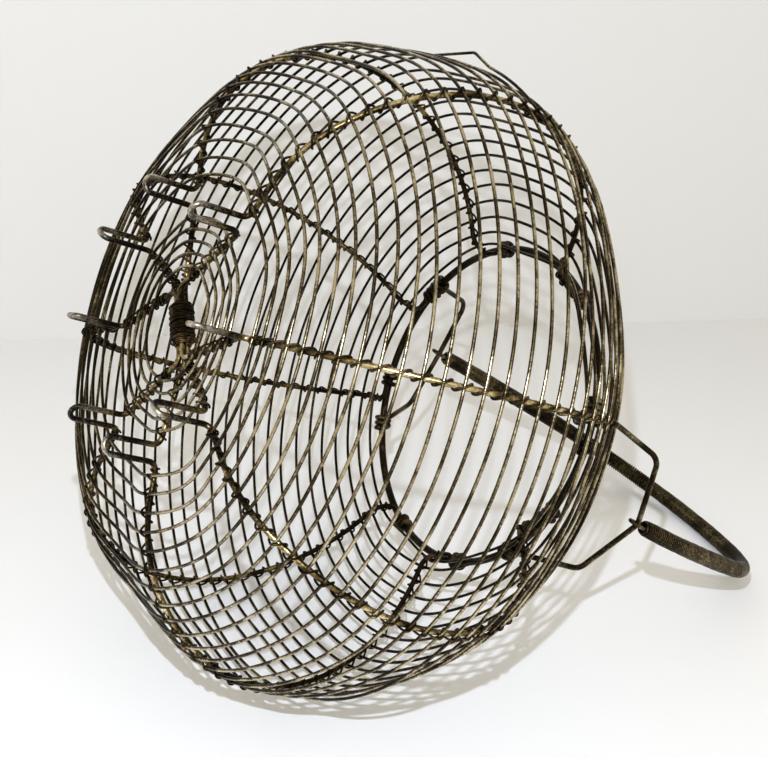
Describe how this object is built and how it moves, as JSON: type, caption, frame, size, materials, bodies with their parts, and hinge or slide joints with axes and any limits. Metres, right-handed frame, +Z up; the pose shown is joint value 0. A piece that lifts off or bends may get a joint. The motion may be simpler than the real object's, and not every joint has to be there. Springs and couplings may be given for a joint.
{
  "type": "fruit picker basket",
  "caption": "Round-bellied wire basket with hairpin wire feet, a bound hub, hoops tied to ribs, an open ringed mouth, two wire ears and a swinging bail with a coil-wrapped grip.",
  "frame": {"origin": "on the basket's axis at the level of the feet's undersides", "axes": "+Z up along the basket's axis towards the mouth, X through the two ears, -Y towards the side the bail leans to at rest"},
  "size_m": [0.3136, 0.3158, 0.4005],
  "materials": {
    "rib_wire": "aged drawn wire with a dark brown-bronze patina, worn to brassy gold on the high side",
    "hoop_wire": "thin drawn wire, dark tarnish with silver-grey worn highlights",
    "binding_wire": "thin soft wire, dark and lightly rusted in the turns",
    "ring_wire": "heavy wire, almost black tarnish",
    "ear_wire": "drawn wire, brown tarnish with worn grey highlights",
    "core_wire": "drawn wire, worn bright at the eyes",
    "packing_wire": "hidden packing wires, dull tarnish",
    "grip_wire": "close-wound fine wire, dark in the grooves and polished on the crowns by the hand"
  },
  "bodies": {
    "basket": {"rib_wire_1": "rib_wire", "rib_wire_2": "rib_wire", "rib_wire_3": "rib_wire", "rib_wire_4": "rib_wire", "hub_wrap": "binding_wire", "hoop_01": "hoop_wire", "hoop_02": "hoop_wire", "hoop_03": "hoop_wire", "hoop_04": "hoop_wire", "hoop_05": "hoop_wire", "hoop_06": "hoop_wire", "hoop_07": "hoop_wire", "hoop_08": "hoop_wire", "hoop_09": "hoop_wire", "hoop_10": "hoop_wire", "hoop_11": "hoop_wire", "hoop_12": "hoop_wire", "hoop_13": "hoop_wire", "hoop_14": "hoop_wire", "hoop_15": "hoop_wire", "hoop_16": "hoop_wire", "hoop_17": "hoop_wire", "hoop_18": "hoop_wire", "hoop_19": "hoop_wire", "hoop_20": "hoop_wire", "hoop_21": "hoop_wire", "hoop_22": "hoop_wire", "hoop_23": "hoop_wire", "hoop_24": "hoop_wire", "hoop_25": "hoop_wire", "hoop_26": "hoop_wire", "hoop_27": "hoop_wire", "hoop_28": "hoop_wire", "hoop_29": "hoop_wire", "hoop_30": "hoop_wire", "hoop_31": "hoop_wire", "hoop_32": "hoop_wire", "hoop_33": "hoop_wire", "hoop_34": "hoop_wire", "hoop_35": "hoop_wire", "hoop_36": "hoop_wire", "hoop_37": "hoop_wire", "hoop_38": "hoop_wire", "binding_1": "binding_wire", "binding_2": "binding_wire", "binding_3": "binding_wire", "binding_4": "binding_wire", "binding_5": "binding_wire", "binding_6": "binding_wire", "binding_7": "binding_wire", "binding_8": "binding_wire", "mouth_ring": "ring_wire", "ear_right": "ear_wire", "ear_left": "ear_wire"},
    "bail": {"bail_core": "core_wire", "grip_packing": "packing_wire", "grip_coil": "grip_wire"}
  },
  "joints": [
    {"name": "bail_swing", "type": "hinge", "parent": "basket", "child": "bail", "pos_m": [-0.0072, -0.00568, 0.23798], "axis": [1, 0, 0], "range_deg": [-47, 38]}
  ]
}
